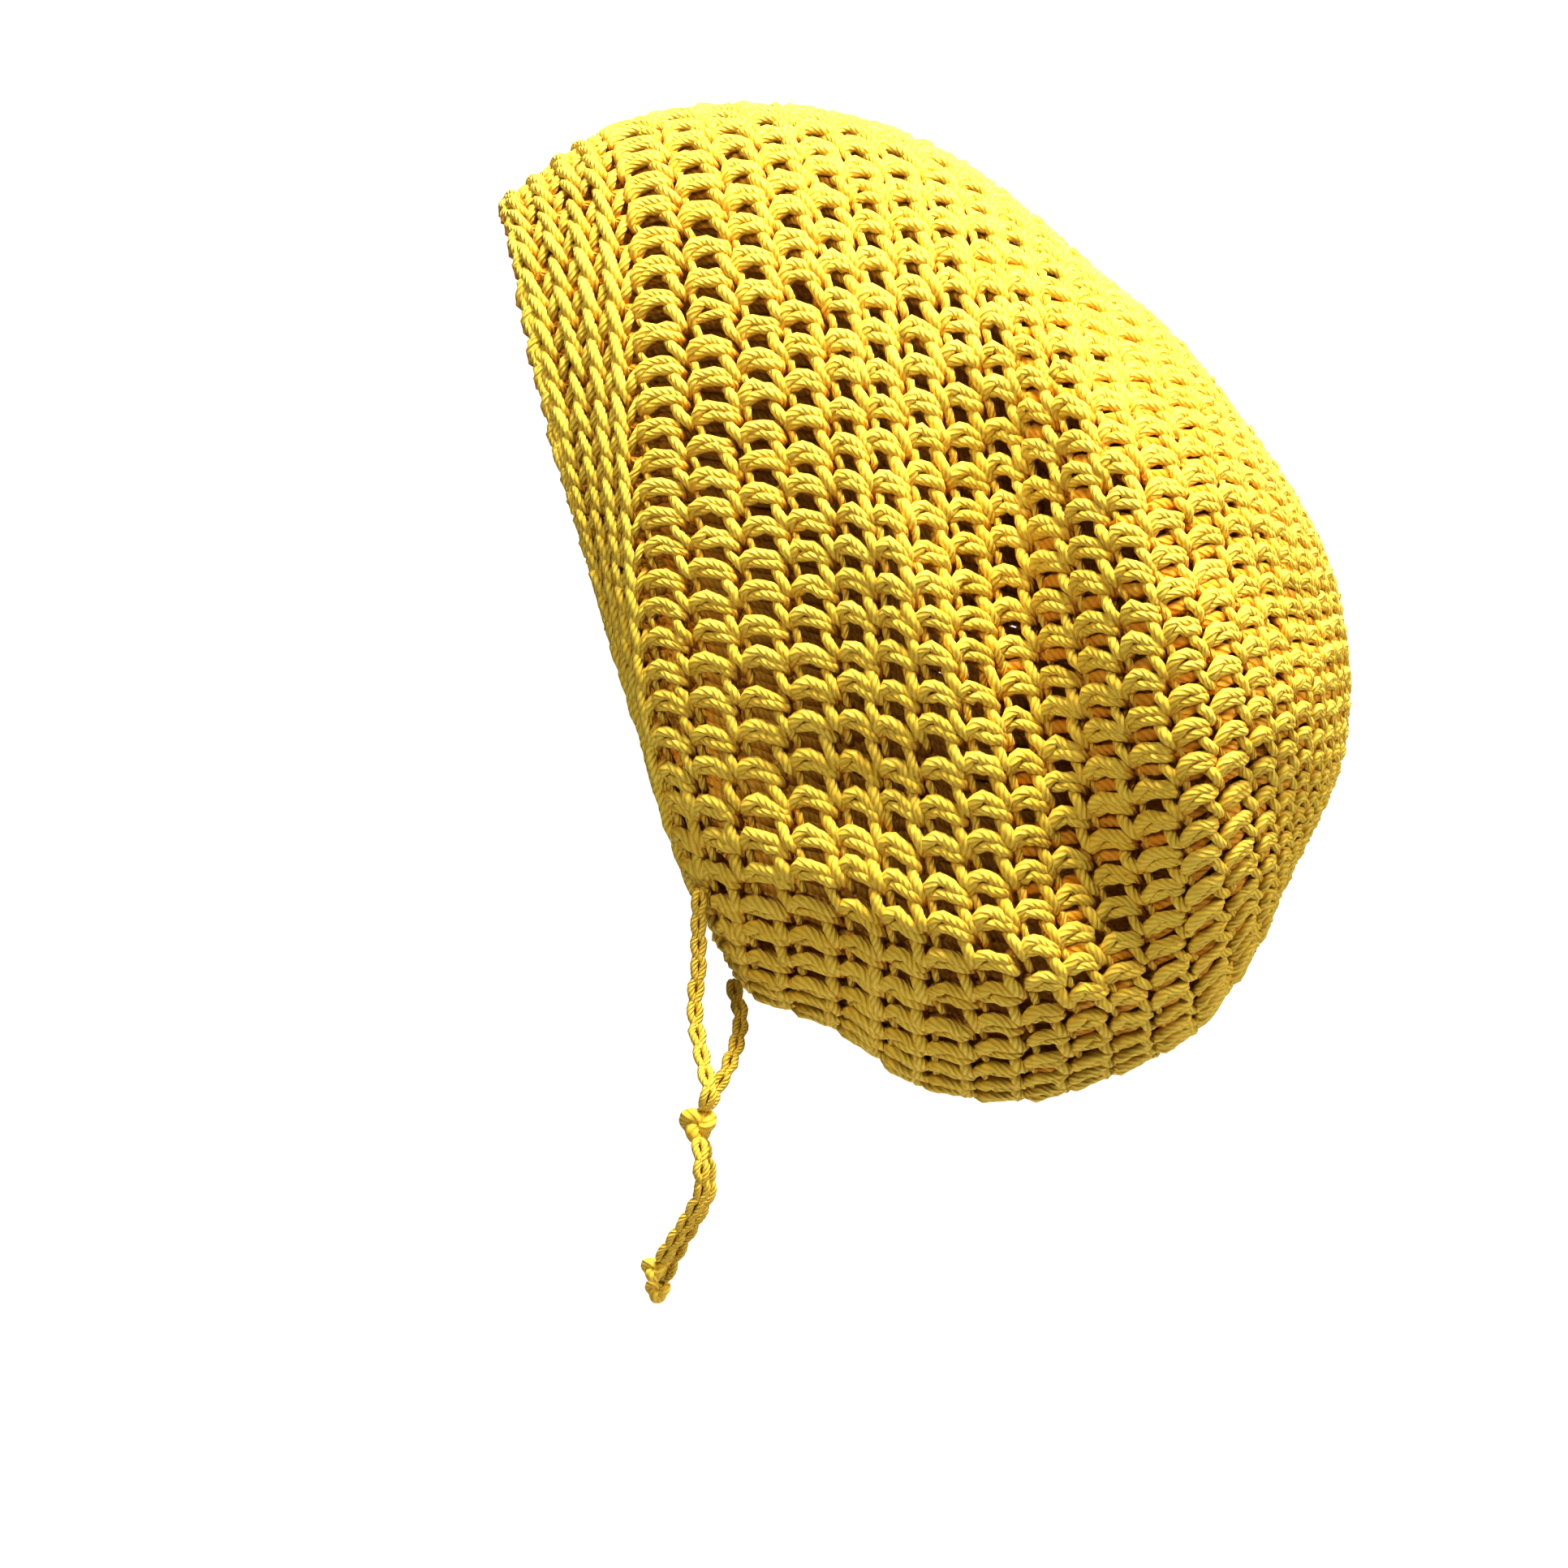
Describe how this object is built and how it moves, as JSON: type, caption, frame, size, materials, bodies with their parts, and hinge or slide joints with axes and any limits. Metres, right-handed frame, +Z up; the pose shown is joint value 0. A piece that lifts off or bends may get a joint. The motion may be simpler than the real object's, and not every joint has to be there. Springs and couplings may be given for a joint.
{
  "type": "rasta tam",
  "caption": "Slouchy crocheted tam with a ribbed band, a deep hanging bag and a knotted drawstring at the nape.",
  "frame": {"origin": "middle of the band's opening, where the head fills it", "axes": "+Z up as worn, +X to the back of the head, the wearer's left at -Y"},
  "size_m": [0.315, 0.2503, 0.4401],
  "materials": {
    "bag_yarn": "soft plied yarn, worked in open crochet rounds, matt with a slight sheen",
    "band_yarn": "soft plied yarn, worked in close crochet ribs",
    "cord_yarn": "soft plied yarn, worked as a crocheted chain"
  },
  "bodies": {
    "root": {"crocheted_bag": "bag_yarn", "ribbed_band": "band_yarn", "front_strand": "cord_yarn", "back_strand": "cord_yarn", "tied_knot": "cord_yarn", "front_tail": "cord_yarn", "back_tail": "cord_yarn", "front_end_knot": "cord_yarn", "back_end_knot": "cord_yarn"}
  },
  "joints": []
}
